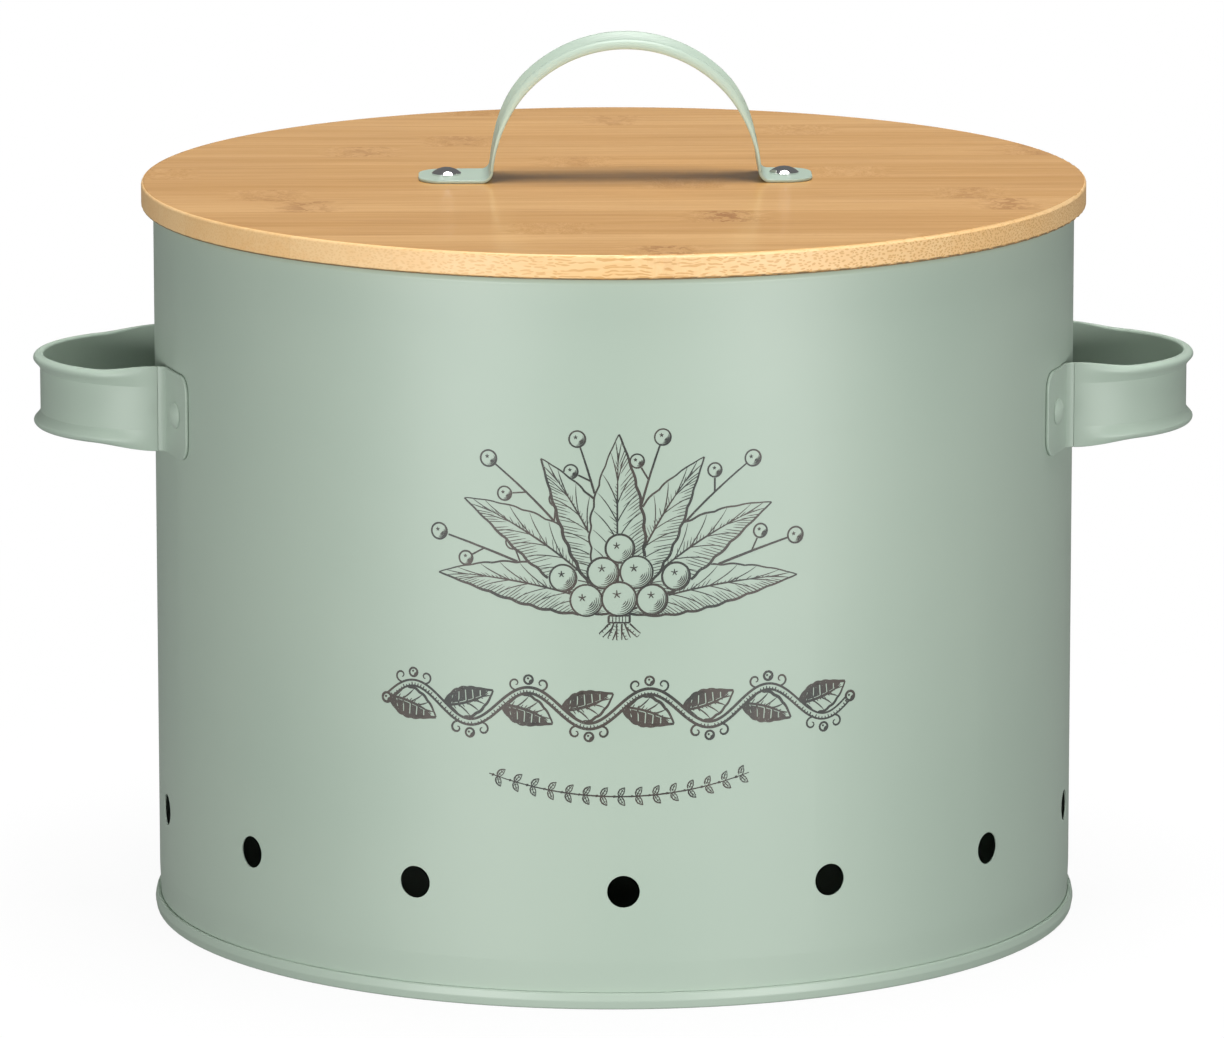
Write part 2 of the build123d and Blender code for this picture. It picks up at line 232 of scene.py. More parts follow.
class Tree:
    """Shorthand for a shader tree. Each call adds nodes, wires their inputs and gives what they put
    out; add gives the node itself."""

    def __init__(self, owner):
        if not isinstance(owner, bpy.types.NodeTree):
            owner.use_nodes = True
            owner = owner.node_tree
        self.tree = owner
        self.tree.nodes.clear()

    def add(self, kind, inputs=None, **settings):
        node = self.tree.nodes.new("ShaderNode" + kind)
        for name, value in settings.items():
            setattr(node, name, value)
        for name, value in (inputs or {}).items():
            self.feed(node.inputs[name], value)
        return node

    def feed(self, socket, value):
        if isinstance(value, bpy.types.NodeSocket):
            self.tree.links.new(value, socket)
        else:
            socket.default_value = value

    def math(self, operation, first, second=0.0, third=0.0, clamp=False):
        inputs = {0: first, 1: second, 2: third}
        return self.add("Math", inputs, operation=operation, use_clamp=clamp).outputs[0]

    def plus(self, first, second, clamp=False):
        return self.math("ADD", first, second, clamp=clamp)

    def minus(self, first, second):
        return self.math("SUBTRACT", first, second)

    def times(self, first, second):
        return self.math("MULTIPLY", first, second)

    def vector(self, operation, first, second):
        return self.add("VectorMath", {0: first, 1: second}, operation=operation).outputs[0]

    def split(self, vector):
        return self.add("SeparateXYZ", {0: vector}).outputs

    def join(self, x, y, z=0.0):
        return self.add("CombineXYZ", {"X": x, "Y": y, "Z": z}).outputs[0]

    def noise(self, place, scale, detail, roughness=0.5, distortion=0.0, output="Fac"):
        inputs = {"Vector": place, "Scale": scale, "Detail": detail, "Roughness": roughness}
        return self.add("TexNoise", {**inputs, "Distortion": distortion}).outputs[output]

    def spread(self, value, low, high, to_low=0.0, to_high=1.0):
        """Maps low..high smoothly to to_low..to_high."""
        inputs = {"Value": value, 1: low, 2: high, 3: to_low, 4: to_high}
        return self.add("MapRange", inputs, interpolation_type="SMOOTHSTEP").outputs[0]

    def blend(self, factor, first, second):
        """Mixes two colours."""
        mix = self.add("Mix", data_type="RGBA")
        for socket, value in ((mix.inputs[0], factor), (mix.inputs[6], first), (mix.inputs[7], second)):
            self.feed(socket, value)
        return mix.outputs[2]

    def bump(self, height, depth):
        return self.add("Bump", {"Height": height, "Distance": depth, "Strength": 1.0}).outputs["Normal"]

    def effect(self, group, place, size, **values):
        """Places a shared node group with its own values."""
        inputs = {"Coordinates": place, "Size": size, **values}
        return self.add("Group", inputs, node_tree=group).outputs[0]

    def ray_is(self, *kinds):
        """1 for rays of any of these kinds, 0 for all others."""
        rays = self.add("LightPath").outputs
        answer = rays[f"Is {kinds[0]} Ray"]
        for kind in kinds[1:]:
            answer = self.math("MAXIMUM", answer, rays[f"Is {kind} Ray"])
        return answer


def rgba(colour):
    """A colour socket's four numbers."""
    return (*colour, 1.0)


def effect_group(name, result, **inputs):
    """A shader node group that takes coordinates, a size and more, and puts out one result. Gives the
    group, its tree, its inputs, the number of sizes in a metre, and the socket for the result."""
    group = bpy.data.node_groups.new(name, "ShaderNodeTree")
    inputs = {"Coordinates": "Vector", "Size": "Float", **inputs}
    for direction, sockets in (("INPUT", inputs), ("OUTPUT", result)):
        for socket, kind in sockets.items():
            group.interface.new_socket(socket, in_out=direction, socket_type="NodeSocket" + kind)
    tree = Tree(group)
    given = group.nodes.new("NodeGroupInput").outputs
    leave = group.nodes.new("NodeGroupOutput").inputs
    return group, tree, given, tree.math("DIVIDE", 1.0, given["Size"]), leave[0]


@cache
def grain_group():
    """Even bumps of one size, stretched as asked: orange peel, plating, ink and sanding marks."""
    group, tree, given, per_metre, result = effect_group(
        "Surface Grain", {"Height": "Float"}, Stretch="Vector",
    )
    stretched = tree.vector("DIVIDE", given["Coordinates"], given["Stretch"])
    tree.feed(result, tree.noise(stretched, per_metre, detail=1.5))
    return group


@cache
def drift_group():
    """Slow cloudy change between two colours."""
    group, tree, given, per_metre, result = effect_group(
        "Tone Drift", {"Colour": "Color"}, Main="Color", Other="Color", Amount="Float",
    )
    cloud = tree.noise(given["Coordinates"], per_metre, detail=3.0)
    share = tree.times(tree.spread(cloud, 0.35, 0.65), given["Amount"])
    tree.feed(result, tree.blend(share, given["Main"], given["Other"]))
    return group


@cache
def handling_group():
    """Roughness with faint wiped patches, as handling and cleaning leave them."""
    group, tree, given, per_metre, result = effect_group(
        "Handling Marks", {"Roughness": "Float"}, Roughness="Float", Change="Float",
    )
    smear = tree.vector("MULTIPLY", given["Coordinates"], (1.0, 1.0, 2.2))
    patches = tree.noise(smear, per_metre, detail=4.0, distortion=0.6)
    swing = tree.times(tree.minus(patches, 0.5), given["Change"])
    tree.feed(result, tree.plus(given["Roughness"], swing, clamp=True))
    return group


def new_material(name, viewport_colour):
    """An empty material with its tree and the object's own coordinates."""
    material = bpy.data.materials.new(name)
    material.diffuse_color = rgba(viewport_colour)
    tree = Tree(material)
    return material, tree, tree.add("TexCoord").outputs["Object"]


def finish_material(tree, **sockets):
    """Ends a material's tree in one Principled shader."""
    names = {name.replace("_", " "): value for name, value in sockets.items()}
    shader = tree.add("BsdfPrincipled", names)
    tree.add("OutputMaterial", {"Surface": shader.outputs["BSDF"]})


# ---------------------------------------------------------------- materials

@cache
def powder_coat():
    """Satin powder coat: faint orange peel, slow drift of colour, wiped patches in the gloss."""
    settings = bpy.context.scene.bin_paint
    material, tree, place = new_material("sage_powder_coat", settings.colour)
    main = rgba(settings.colour)
    other = rgba(settings.drift)
    peel = tree.effect(grain_group(), place, settings.peel_size, Stretch=(1, 1, 1))
    finish_material(
        tree,
        Base_Color=tree.effect(drift_group(), place, 90 * MM, Main=main, Other=other, Amount=0.5),
        Specular_IOR_Level=0.42,
        Roughness=tree.effect(
            handling_group(), place, 50 * MM, Roughness=settings.roughness, Change=0.08,
        ),
        Normal=tree.bump(peel, settings.peel_depth),
    )
    return material


KNUCKLE_SPACING = 210 * MM
KNUCKLE_REACH = 6.5 * MM
KNUCKLE_TWIST = 4 * MM               # how far the fibres swirl there
FIRST_GLUE_LINE = -148 * MM
PLAIN_END = (-95 * MM, 10 * MM)      # along the board, where the dots get stronger
FIBRE_SWAY = 2.6 * MM
FIBRE_WIGGLE = (0, 1.5 * MM, 1.8 * MM)
SWAY_RATE = 45.0                     # features in a metre
SWIRL_RATE = 120.0
WIGGLE_RATE = 210.0
FLECK_RATE = 270.0
STREAK_PITCH = 0.46                  # streaks, lines and bands in the room of one fibre bundle
LINE_PITCH = 0.62
BAND_PITCH = 0.085
STREAK_DEPTH = 0.50                  # shares of the deep colour
BAND_DEPTH = 0.32
STRIP_DEPTH = 0.55
LINE_SHADE = 0.20                    # shares of the knuckle colour
GLUE_SHADE = 0.30
FLECK_SHADE = 0.70
VEIL_SHADE = 0.13
HALO_SHADE = 0.06
# share of the painted shade on the edge's lower corner
PAINTED_EDGE_SHADE = 0.85
LACQUER_ROUGHNESS = 0.21
SAWN_ROUGHNESS = 0.26                # how much rougher the cut edge is
GRAIN_RELIEF = 0.012 * MM
# For each strip, from the front: where its knuckle lies in millimetres, and how strongly it shows.
KNUCKLES = (
    (13, 0.90), (95, 0.20), (-20, 0.12), (32, 1.00), (-93, 0.70), (-104, 0.45), (22, 0.35),
    (72, 0.15), (-11, 0.30), (-77, 0.50), (-46, 0.50), (60, 0.15), (2, 0.40), (-40, 0.15),
)


def knuckle_lookup(tree, strip):
    """Where each strip has its knuckle and how strong it is: one step of a ramp for each strip."""
    count = len(KNUCKLES)
    ramp_node = tree.add("ValToRGB", {0: tree.math("DIVIDE", tree.plus(strip, 0.5), count)})
    ramp = ramp_node.color_ramp
    ramp.interpolation = "CONSTANT"
    for number, (place, strength) in enumerate(KNUCKLES):
        share = place * MM / KNUCKLE_SPACING + 0.5
        step = ramp.elements[number] if number < 2 else ramp.elements.new(number / count)
        step.position = number / count
        step.color = (share, strength, 0, 1)
    looked_up = tree.add("SeparateColor", {0: ramp_node.outputs["Color"]}).outputs
    return tree.times(tree.minus(looked_up["Red"], 0.5), KNUCKLE_SPACING), looked_up["Green"]


@cache
def bamboo():
    """Lacquered bamboo: glued strips along X, fibre bundles that show as streaks along the grain and
    as dots where they are cut across, and a flecked knuckle in every strip."""
    settings = bpy.context.scene.bin_bamboo
    pale = rgba(settings.pale)
    deep = rgba(settings.deep)
    dark = rgba(settings.knuckle)
    material, tree, place = new_material("bamboo_lacquered", settings.pale)
    axes = tree.split(place)
    across = tree.math("DIVIDE", tree.minus(axes["Y"], FIRST_GLUE_LINE), settings.strip_width)
    strip = tree.math("FLOOR", across)
    strip_random = tree.add("TexWhiteNoise", {"W": strip}, noise_dimensions="1D").outputs["Value"]

    knuckle_place, knuckle_strength = knuckle_lookup(tree, strip)
    from_knuckle = tree.minus(axes["X"], knuckle_place)
    from_knuckle = tree.math("WRAP", from_knuckle, KNUCKLE_SPACING / 2, -KNUCKLE_SPACING / 2)
    reach = tree.math("DIVIDE", from_knuckle, KNUCKLE_REACH)
    knuckle = tree.math("EXPONENT", tree.times(tree.times(reach, reach), -1.0))
    halo = tree.math("POWER", knuckle, 0.15)

    # Fibres wander a little along the strip, and swirl at the knuckle.
    slow = tree.join(tree.times(axes["X"], 0.25), axes["Y"], strip_random)
    wander = tree.noise(slow, SWAY_RATE, detail=1.0)
    swirl = tree.noise(place, SWIRL_RATE, detail=2.0)
    sway = tree.times(tree.minus(wander, 0.5), FIBRE_SWAY)
    twist = tree.times(tree.times(tree.minus(swirl, 0.5), knuckle), KNUCKLE_TWIST)
    bent_y = tree.plus(axes["Y"], tree.plus(sway, twist))

    # Along the strip the fibres are drawn out, least at the knuckle, and no two strips are alike.
    shifted_x = tree.plus(axes["X"], tree.times(strip_random, 0.7))
    along = tree.times(shifted_x, tree.plus(tree.times(knuckle, 0.05), 0.022))
    bundle = tree.join(along, bent_y, axes["Z"])
    streaks = tree.noise(bundle, STREAK_PITCH / settings.fibre_size, detail=4.0, roughness=0.66)
    lines = tree.noise(bundle, LINE_PITCH / settings.fibre_size, detail=2.0)
    bands = tree.noise(bundle, BAND_PITCH / settings.fibre_size, detail=1.0)

    # Bundles run through the whole board: dots across the grain, dashes where they leave a face that
    # lies along it.
    wiggle = tree.noise(place, WIGGLE_RATE, detail=1.0, output="Color")
    wiggle = tree.vector("SUBTRACT", wiggle, (0.5, 0.5, 0.5))
    wiggle = tree.split(tree.vector("MULTIPLY", wiggle, FIBRE_WIGGLE))
    section = tree.join(tree.plus(bent_y, wiggle["Y"]), tree.plus(axes["Z"], wiggle["Z"]))
    cells = {"Vector": section, "Scale": 1 / settings.fibre_size, "Randomness": 0.9}
    cells = tree.add("TexVoronoi", cells, voronoi_dimensions="2D").outputs["Distance"]
    dots = tree.spread(cells, 0.36, 0.22)

    # The sawn edge is cut across the fibres. Its lower corner, where the faces turn downwards, gets painted
    # shade: a dark colour standing in for the shadow under the board's edge.
    facing = tree.split(tree.add("NewGeometry").outputs["Normal"])
    upright = tree.math("ABSOLUTE", facing["Z"])
    cut_share = tree.spread(upright, 0.97, 0.85)
    kept_on_cut = tree.spread(cut_share, 0.0, 1.0, 1.0, 0.2)
    bands = tree.spread(bands, 0.32, 0.68, 0.0, BAND_DEPTH)
    depth = tree.plus(tree.spread(streaks, 0.34, 0.66, 0.0, STREAK_DEPTH), bands)
    depth = tree.plus(depth, tree.times(tree.minus(strip_random, 0.5), STRIP_DEPTH), clamp=True)
    wood = tree.blend(depth, pale, deep)
    wood = tree.blend(tree.times(tree.spread(lines, 0.57, 0.64), LINE_SHADE), wood, dark)
    cut_wood = tree.blend(tree.times(depth, 0.55), rgba(settings.cut), pale)
    wood = tree.blend(cut_share, wood, cut_wood)
    # Painted shade: the downward-facing faces of the lower rounded corner, but not the flat underside, take
    # the dark colour.
    corner = tree.times(tree.spread(facing["Z"], -0.2, -0.5), tree.spread(facing["Z"], -1.0, -0.93))
    wood = tree.blend(tree.times(corner, PAINTED_EDGE_SHADE), wood, rgba(settings.painted_edge_shade))
    dot_strength = tree.spread(upright, 0.3, 0.8, 0.75, 0.22)
    dot_strength = tree.times(dot_strength, tree.spread(axes["X"], *PLAIN_END, 0.25, 1.0))
    wood = tree.blend(tree.times(dots, dot_strength), wood, deep)

    # Knuckles: short dark flecks, thickest in the middle of the patch.
    fleck_place = tree.join(axes["X"], tree.times(bent_y, 0.75), axes["Z"])
    flecks = tree.noise(fleck_place, FLECK_RATE, detail=2.0, roughness=0.6, distortion=0.8)
    flecks = tree.times(tree.spread(flecks, 0.47, 0.57), tree.math("POWER", knuckle, 0.7))
    veil = tree.plus(tree.times(knuckle, VEIL_SHADE), tree.times(halo, HALO_SHADE))
    stain = tree.plus(tree.times(flecks, FLECK_SHADE), veil, clamp=True)
    stain = tree.times(tree.times(stain, knuckle_strength), kept_on_cut)
    wood = tree.blend(stain, wood, dark)

    # Glue lines between the strips.
    to_line = tree.math("ABSOLUTE", tree.minus(tree.math("FRACT", across), 0.5))
    glue = tree.times(tree.spread(to_line, 0.485, 0.5), kept_on_cut)
    wood = tree.blend(tree.times(glue, GLUE_SHADE), wood, dark)

    gloss = tree.effect(handling_group(), place, 40 * MM, Roughness=LACQUER_ROUGHNESS, Change=0.08)
    relief = tree.minus(tree.times(streaks, 0.5), tree.times(dots, 0.35))
    relief = tree.minus(relief, tree.times(glue, 0.8))
    finish_material(
        tree,
        Base_Color=wood,
        Roughness=tree.plus(gloss, tree.times(cut_share, SAWN_ROUGHNESS)),
        Normal=tree.bump(relief, GRAIN_RELIEF),
    )
    return material


@cache
def chrome():
    """Polished chrome with a faint haze and hairline scratches."""
    colour = bpy.context.scene.bin_metal.chrome
    material, tree, place = new_material("bright_chrome_polished", colour)
    hairlines = tree.effect(grain_group(), place, 0.12 * MM, Stretch=(14, 1, 1))
    finish_material(
        tree,
        Base_Color=rgba(colour),
        Metallic=1.0,
        Roughness=tree.effect(handling_group(), place, 3 * MM, Roughness=0.09, Change=0.06),
        Normal=tree.bump(hairlines, 0.0015 * MM),
    )
    return material


@cache
def zinc():
    """Zinc plating: cloudy grey, slightly rough, with turning marks."""
    colour = bpy.context.scene.bin_metal.zinc
    material, tree, place = new_material("zinc_plated_steel", colour)
    cloud = (0.43, 0.45, 0.50, 1)
    marks = tree.effect(grain_group(), place, 0.16 * MM, Stretch=(5, 5, 1))
    finish_material(
        tree,
        Base_Color=tree.effect(drift_group(), place, 2.2 * MM, Main=rgba(colour), Other=cloud, Amount=0.8),
        Metallic=1.0,
        Roughness=tree.effect(handling_group(), place, 2 * MM, Roughness=0.33, Change=0.18),
        Normal=tree.bump(marks, 0.004 * MM),
    )
    return material


@cache
def screen_ink():
    """Screen printed ink: cloudy where it lies thin, with pinholes and a fine tooth."""
    settings = bpy.context.scene.bin_print
    material, tree, place = new_material("screen_print_ink", settings.ink)
    ink = rgba(settings.ink)
    thin = rgba(settings.thin_ink)
    tone = tree.effect(drift_group(), place, 12 * MM, Main=ink, Other=thin, Amount=0.75)
    tooth = tree.effect(grain_group(), place, 0.28 * MM, Stretch=(1, 1, 1))
    pinholes = tree.times(tree.spread(tooth, 0.66, 0.74), 0.5)
    finish_material(
        tree,
        Base_Color=tree.blend(pinholes, tone, rgba(bpy.context.scene.bin_paint.colour)),
        Roughness=tree.effect(handling_group(), place, 20 * MM, Roughness=0.46, Change=0.12),
        Normal=tree.bump(tooth, 0.008 * MM),
    )
    return material


# ---------------------------------------------------------------- pieces

def coat(finish, *nodes):
    """Gives CAD pieces their finish."""
    for node in nodes:
        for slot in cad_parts[node].material_slots:
            slot.material = finish


def add_piece(name, mesh, finish):
    """Puts a finished mesh into the scene as a piece with its material."""
    bmesh.ops.recalc_face_normals(mesh, faces=mesh.faces)
    piece = bpy.data.objects.new(name, bpy.data.meshes.new(name))
    mesh.to_mesh(piece.data)
    mesh.free()
    bpy.context.scene.collection.objects.link(piece)
    piece.data.materials.append(finish)
    return piece


def round_axis(radius, azimuth, height):
    """A point by its distance from the bin's axis, its turn from the front, and its height."""
    return (radius * math.sin(azimuth), -radius * math.cos(azimuth), height)


RIM_CURL_RADIUS = 2 * MM
RIM_COAT_PROUD = 0.03 * MM
RIM_COAT_ROOT = 0.10 * MM
RIM_COAT_ARC = (-9, 285)    # degrees round the curl's section
RIM_COAT_STEPS = 42
RIM_ROUND_STEPS = 288


def rim_coat(rim_top):
    """The smooth coat round the rolled rim: a thin closed shell whose underside lies in the sheet."""
    centre_height = rim_top - RIM_CURL_RADIUS
    first, last = RIM_COAT_ARC
    turns = [math.radians(first + (last - first) * k / RIM_COAT_STEPS) for k in range(RIM_COAT_STEPS + 1)]
    outer = RIM_CURL_RADIUS + RIM_COAT_PROUD
    inner = RIM_CURL_RADIUS - RIM_COAT_ROOT
    section = [(outer * math.cos(turn), outer * math.sin(turn)) for turn in turns]
    section += [(inner * math.cos(turn), inner * math.sin(turn)) for turn in reversed(turns)]
    curl_axis = DRUM_RADIUS - RIM_CURL_RADIUS
    mesh = bmesh.new()
    rings = []
    for step in range(RIM_ROUND_STEPS):
        azimuth = math.tau * step / RIM_ROUND_STEPS
        corners = [round_axis(curl_axis + out, azimuth, centre_height + up) for out, up in section]
        rings.append([mesh.verts.new(corner) for corner in corners])
    for here, there in zip(rings, rings[1:] + rings[:1]):
        for k in range(len(section)):
            face = mesh.faces.new((here[k - 1], there[k - 1], there[k], here[k]))
            face.smooth = True
    # The shell's two long rims are sharp.
    for ring in rings:
        for vertex in (ring[0], ring[RIM_COAT_STEPS], ring[RIM_COAT_STEPS + 1], ring[-1]):
            for edge in vertex.link_edges:
                edge.smooth = edge.other_vert(vertex) in ring
    piece = add_piece("rim_coat", mesh, powder_coat())
    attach(piece, "bin")


# ---------------------------------------------------------------- the printed ornament

LINE_STEP = 0.6        # millimetres between the points of a line
INK_ROOT = 0.12 * MM   # how far the ink's closed underside lies inside the sheet
INK_LAYERS = 12        # neighbouring lines lie a hair apart, so no two faces coincide
INK_LAYER_SPAN = 0.4   # share of the ink's thickness that these layers take up
LEAF_STEPS = 48        # points along a leaf's midrib
TINY = 1e-9
# Strokes on a leaf's shaded half and on its lit one: millimetres apart, least and greatest reach as
# shares of the way across, weight.
DARK_HATCH = (0.85, 0.35, 0.85, 0.30)
PALE_HATCH = (1.25, 0.10, 0.38, 0.28)


def bend(first, control, last, count):
    """A curve from first to last, drawn towards the control point."""
    steps = [k / count for k in range(count + 1)]
    return [(1 - t) ** 2 * first + 2 * t * (1 - t) * control + t * t * last for t in steps]


def even_steps(path, step=LINE_STEP):
    """The same path with its points about one step apart."""
    lengths = [0.0]
    for here, there in zip(path, path[1:]):
        lengths.append(lengths[-1] + abs(there - here))
    count = max(3, round(lengths[-1] / step))
    spaced, leg = [], 0
    for k in range(count + 1):
        wanted = lengths[-1] * k / count
        while leg < len(path) - 2 and lengths[leg + 1] < wanted:
            leg += 1
        share = (wanted - lengths[leg]) / max(lengths[leg + 1] - lengths[leg], TINY)
        spaced.append(path[leg] + (path[leg + 1] - path[leg]) * share)
    return spaced


def sideways(path):
    """The unit vector to the left of the path at each of its points."""
    ahead = [b - a for a, b in zip(path[:1] + path, path[1:] + path[-1:])]
    if ahead[0] == 0:
        ahead[0] = ahead[1]
    turned = [step_ahead * 1j for step_ahead in ahead[:len(path)]]
    return [vector / max(abs(vector), TINY) for vector in turned]


def inside(place, outline):
    """Whether a place lies inside a closed outline."""
    found = False
    for here, there in zip(outline, outline[1:] + outline[:1]):
        if (here.imag > place.imag) != (there.imag > place.imag):
            share = (place.imag - here.imag) / (there.imag - here.imag)
            found ^= place.real < here.real + share * (there.real - here.real)
    return found


class Drawing:
    """Ink lines on the drum's wall. A place is a complex number: millimetres along the wall from its
    front, and millimetres above the floor. What is drawn first lies in front of what follows."""

    def __init__(self, settings, seed_step):
        self.random = random.Random(settings.seed + seed_step)
        self.weight = settings.line_weight
        self.thickness = settings.ink_thickness
        self.covers = []
        self.ribbons = []

    def cover(self, outline):
        """Keeps later lines out of this outline."""
        along = [place.real for place in outline]
        up = [place.imag for place in outline]
        self.covers.append((outline, min(along), max(along), min(up), max(up)))

    def hidden(self, place):
        for outline, left, right, low, high in self.covers:
            if left < place.real < right and low < place.imag < high and inside(place, outline):
                return True
        return False

    def ribbon(self, pairs):
        """Keeps the stretches of a ribbon that nothing in front hides."""
        run = []
        for left, right in pairs + [(None, None)]:
            if left is not None and not self.hidden((left + right) / 2):
                run.append((left, right))
                continue
            if len(run) > 2:
                self.ribbons.append(run)
            run = []

    def line(self, path, width, start, end):
        """A pen line, thinner towards its ends: start and end are shares of its width."""
        path = even_steps(path)
        width *= self.weight * self.random.uniform(0.88, 1.12)
        last = len(path) - 1
        pairs = []
        for k, (place, left) in enumerate(zip(path, sideways(path))):
            swell = min(start + (1 - start) * 3 * k / last, end + (1 - end) * 3 * (last - k) / last, 1)
            half = left * width * swell / 2
            pairs.append((place + half, place - half))
        self.ribbon(pairs)

    def ring(self, centre, radius, width):
        self.line([centre + radius * unit(k * 15 + 100) for k in range(25)], width, 1, 1)

    def leaf(self, base, tip, breadth, curl, veins, shade, outline=0.7, hatch=1.0, solid=False):
        """A leaf with a scalloped edge, a midrib, side veins and hatching, darker on one side."""
        along = tip - base
        spine = bend(base, base + along / 2 + along * 1j * curl, tip, LEAF_STEPS)
        across = sideways(spine)
        edges = {}
        for side in (-1, 1):
            edges[side] = []
            for k, (place, left) in enumerate(zip(spine, across)):
                t = k / LEAF_STEPS
                swell = math.sin(math.pi * t ** 0.78) ** 0.9 if 0 < t < 1 else 0
                scallop = 0.93 + 0.09 * abs(math.sin(math.pi * (veins + 0.5) * t))
                edges[side].append(place + side * left * breadth / 2 * swell * scallop)
            self.line(edges[side], outline * (1.25 if side == shade else 0.85), 0.7, 0.6)
        self.line(spine[:LEAF_STEPS - 4], outline * 0.8, 1, 0.25)
        for side in (-1, 1):
            for number in range(1, veins + 1):
                root = round(LEAF_STEPS * (number - 0.35) / (veins + 1.2))
                reach = min(root + 8, LEAF_STEPS - 2)
                end = spine[reach] + (edges[side][reach] - spine[reach]) * 0.92
                middle = spine[root + 3] + (end - spine[root + 3]) * 0.45
                self.line(bend(spine[root], middle, end, 10), outline * 0.42, 1, 0.3)
            self.shade_half(spine, edges[side], hatch, side == shade, outline, solid)
        self.cover(edges[1] + edges[-1][::-1])

    def shade_half(self, spine, edge, hatch, dark, outline, solid):
        """Hatching from the edge of a leaf towards its midrib, or solid ink over the darker half."""
        if solid and dark:
            inner = [a + (b - a) * 0.14 for a, b in zip(spine, edge)]
            for first in range(4, LEAF_STEPS, 7):
                last = min(first + 6, LEAF_STEPS - 1)
                self.ribbon([(inner[k - 3], edge[k]) for k in range(first, last + 1)])
            return
        gap, least, greatest, weight = DARK_HATCH if dark else PALE_HATCH
        count = round(abs(spine[-1] - spine[0]) / gap * hatch)
        for number in range(2, count):
            k = LEAF_STEPS * number / count + self.random.uniform(-0.3, 0.3)
            low = int(min(k, LEAF_STEPS - 4))
            rib = spine[max(low - 5, 0)]
            start, goal = (edge[low], rib) if dark else (rib, edge[low])
            reach = (goal - start) * self.random.uniform(least, greatest)
            self.line([start, start + reach], outline * weight, 1, 0.3)

    def berry(self, centre, radius, outline=0.6):
        """A round berry: rim, curved hatching on its lower right and a small crown."""
        crown = centre + radius * 0.30 * unit(self.random.uniform(100, 150))
        for ray in range(5):
            self.line([crown, crown + radius * 0.26 * unit(ray * 72 + 20)], outline * 0.6, 1, 0.4)
        for share in (0.88, 0.76, 0.64, 0.52, 0.40):
            reach = 78 * share + self.random.uniform(-10, 10)
            arc = [centre + radius * share * unit(-38 + reach * (k / 8 - 1)) for k in range(17)]
            self.line(arc, outline * 0.5, 0.3, 0.3)
        self.ring(centre, radius, outline)
        self.cover([centre + radius * unit(k * 15) for k in range(24)])

    def stem(self, path, width, outline=0.5):
        """A round stem: both of its sides, and short strokes across the shaded one."""
        path = even_steps(path, 1.0)
        left = sideways(path)
        sides = {side: [p + side * n * width / 2 for p, n in zip(path, left)] for side in (-1, 1)}
        for place, here, there in zip(path, sides[-1], sides[1]):
            share = self.random.uniform(0.25, 0.7)
            self.line([here, here + (there - here) * share], outline * 0.4, 1, 0.4)
        for side in (-1, 1):
            self.line(sides[side], outline, 0.7, 0.6)
        self.cover(sides[1] + sides[-1][::-1])

    def sprig(self, base, tip, curl, radius, outline=0.5):
        """A thin twig with a berry at its tip and two more on short stalks."""
        along = tip - base
        twig = bend(base, base + along / 2 + along * 1j * curl, tip, 20)
        self.berry(tip, radius, outline)
        for place, turn in ((15, 48), (11, -48)):
            start = twig[place]
            heading = (twig[place + 1] - start) / abs(twig[place + 1] - start)
            end = start + heading * unit(turn) * radius * 2.7
            self.berry(end, radius * 0.86, outline)
            self.line([start, end], outline, 1, 0.8)
        self.line(twig, outline * 1.4, 1, 0.7)

    def make_piece(self, name):
        """Wraps the lines round the drum as thin closed ribbons of ink."""
        mesh = bmesh.new()
        root = DRUM_RADIUS - INK_ROOT
        for number, ribbon in enumerate(self.ribbons):
            layer = 1 - INK_LAYER_SPAN * (number % INK_LAYERS) / INK_LAYERS
            outer = DRUM_RADIUS + self.thickness * layer
            rings = []
            for left, right in ribbon:
                rims = ((left, outer), (right, outer), (right, root), (left, root))
                rings.append([mesh.verts.new(wrapped(place, radius)) for place, radius in rims])
            for here, there in zip(rings, rings[1:]):
                for k in range(4):
                    mesh.faces.new((here[k], here[k - 1], there[k - 1], there[k]))
            mesh.faces.new(rings[0])
            mesh.faces.new(rings[-1][::-1])
        piece = add_piece(name, mesh, screen_ink())
        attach(piece, "bin")


def unit(degrees):
    """The unit vector at an angle, anticlockwise from along the wall."""
    return cmath.exp(1j * math.radians(degrees))


def wrapped(place, radius):
    """A place on the wall as a point in space, at a distance from the drum's axis."""
    return round_axis(radius, place.real * MM / DRUM_RADIUS, place.imag * MM)


